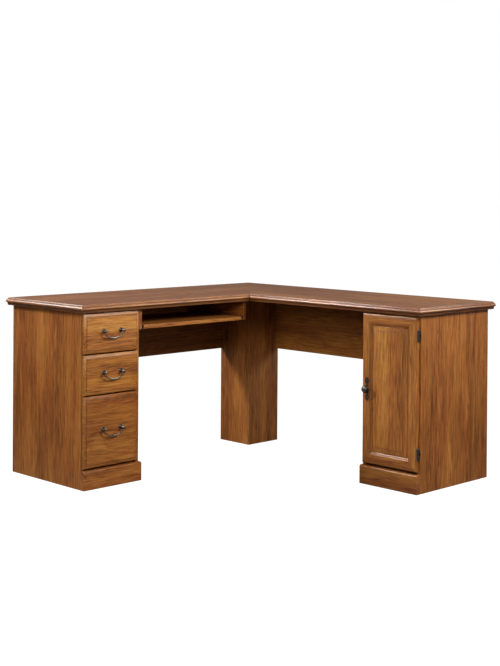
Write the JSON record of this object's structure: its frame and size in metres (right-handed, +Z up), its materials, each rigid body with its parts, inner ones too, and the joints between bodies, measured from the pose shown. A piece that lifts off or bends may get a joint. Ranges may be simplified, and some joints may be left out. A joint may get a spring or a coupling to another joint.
{
  "type": "corner desk",
  "caption": "L-shaped corner desk with a moulded-edge oak-look top, a drawer pedestal, a door pedestal, a corner leg, modesty panels and a sliding keyboard shelf.",
  "frame": {"origin": "middle of the footprint's bounding box, on the floor", "axes": "+Z up; the wings' back edges are the -X side (left wing) and the +Y side (right wing); the left wing's drawers face +X and the right wing's door faces -Y"},
  "size_m": [1.512, 1.465, 0.752],
  "materials": {
    "oak_top": "satin lacquered oak-look top",
    "oak_moulding": "satin lacquered moulded oak",
    "oak_panel": "satin oak laminate on board",
    "oak_front": "satin lacquered oak fronts",
    "fibreboard": "matte hardboard",
    "drawer_side": "satin foil-wrapped board",
    "bright_steel": "zinc plated",
    "dark_steel": "black baked enamel",
    "aged_pewter": "cast and antiqued, dark in the recesses, rubbed bright on the high spots",
    "white_plastic": "moulded"
  },
  "bodies": {
    "carcass": {"left_top_board": "oak_top", "right_top_board": "oak_top", "left_front_moulding": "oak_moulding", "left_end_moulding": "oak_moulding", "right_front_moulding": "oak_moulding", "right_end_moulding": "oak_moulding", "top_rails": "oak_panel", "mitre_plates": "bright_steel", "left_end_panel": "oak_panel", "left_inner_panel": "oak_panel", "left_back_panel": "fibreboard", "left_bottom_board": "oak_panel", "left_base_moulding": "oak_moulding", "right_end_panel": "oak_panel", "right_inner_panel": "oak_panel", "right_back_panel": "fibreboard", "right_bottom_board": "oak_panel", "right_base_moulding": "oak_moulding", "corner_leg_left": "oak_panel", "corner_leg_right": "oak_panel", "left_modesty_panel": "oak_panel", "right_modesty_panel": "oak_panel", "cam_locks": "bright_steel", "back_nails": "bright_steel", "left_shelf_bracket": "oak_panel", "right_shelf_bracket": "oak_panel", "keyboard_slide_channels": "dark_steel", "drawer_slide_channels": "bright_steel", "cupboard_shelf": "oak_panel", "shelf_pins": "bright_steel", "hinge_frame_leaves": "dark_steel", "hinge_pins": "dark_steel", "catch": "white_plastic"},
    "upper_drawer": {"upper_drawer_front": "oak_front", "upper_drawer_box": "drawer_side", "upper_drawer_bottom": "fibreboard", "upper_drawer_runners": "bright_steel", "upper_pull_posts": "aged_pewter"},
    "upper_bail": {"upper_pull_bail": "aged_pewter"},
    "middle_drawer": {"middle_drawer_front": "oak_front", "middle_drawer_box": "drawer_side", "middle_drawer_bottom": "fibreboard", "middle_drawer_runners": "bright_steel", "middle_pull_posts": "aged_pewter"},
    "middle_bail": {"middle_pull_bail": "aged_pewter"},
    "file_drawer": {"file_drawer_front": "oak_front", "file_drawer_box": "drawer_side", "file_drawer_bottom": "fibreboard", "file_drawer_runners": "bright_steel", "file_pull_posts": "aged_pewter", "file_rails": "bright_steel"},
    "file_bail": {"file_pull_bail": "aged_pewter"},
    "keyboard_tray": {"keyboard_shelf": "oak_panel", "keyboard_slide_runners": "dark_steel"},
    "door": {"door_frame": "oak_front", "door_panel": "oak_front", "hinge_door_leaves": "dark_steel", "door_knob": "aged_pewter", "knob_backplate": "aged_pewter", "catch_strike": "bright_steel"}
  },
  "joints": [
    {"name": "upper_drawer_slide", "type": "slide", "parent": "carcass", "child": "upper_drawer", "axis": [1, 0, 0], "range_m": [0, 0.3]},
    {"name": "upper_bail_swing", "type": "hinge", "parent": "upper_drawer", "child": "upper_bail", "pos_m": [-0.219, -0.561, 0.641], "axis": [0, -1, 0], "range_deg": [-15, 90]},
    {"name": "middle_drawer_slide", "type": "slide", "parent": "carcass", "child": "middle_drawer", "axis": [1, 0, 0], "range_m": [0, 0.3]},
    {"name": "middle_bail_swing", "type": "hinge", "parent": "middle_drawer", "child": "middle_bail", "pos_m": [-0.219, -0.561, 0.472], "axis": [0, -1, 0], "range_deg": [-15, 90]},
    {"name": "file_drawer_slide", "type": "slide", "parent": "carcass", "child": "file_drawer", "axis": [1, 0, 0], "range_m": [0, 0.3]},
    {"name": "file_bail_swing", "type": "hinge", "parent": "file_drawer", "child": "file_bail", "pos_m": [-0.219, -0.561, 0.23975], "axis": [0, -1, 0], "range_deg": [-15, 90]},
    {"name": "keyboard_slide", "type": "slide", "parent": "carcass", "child": "keyboard_tray", "axis": [1, 0, 0], "range_m": [0, 0.25]},
    {"name": "door_hinge", "type": "hinge", "parent": "carcass", "child": "door", "pos_m": [0.7275, 0.236, 0.4005], "axis": [0, 0, 1], "range_deg": [0, 120]}
  ]
}
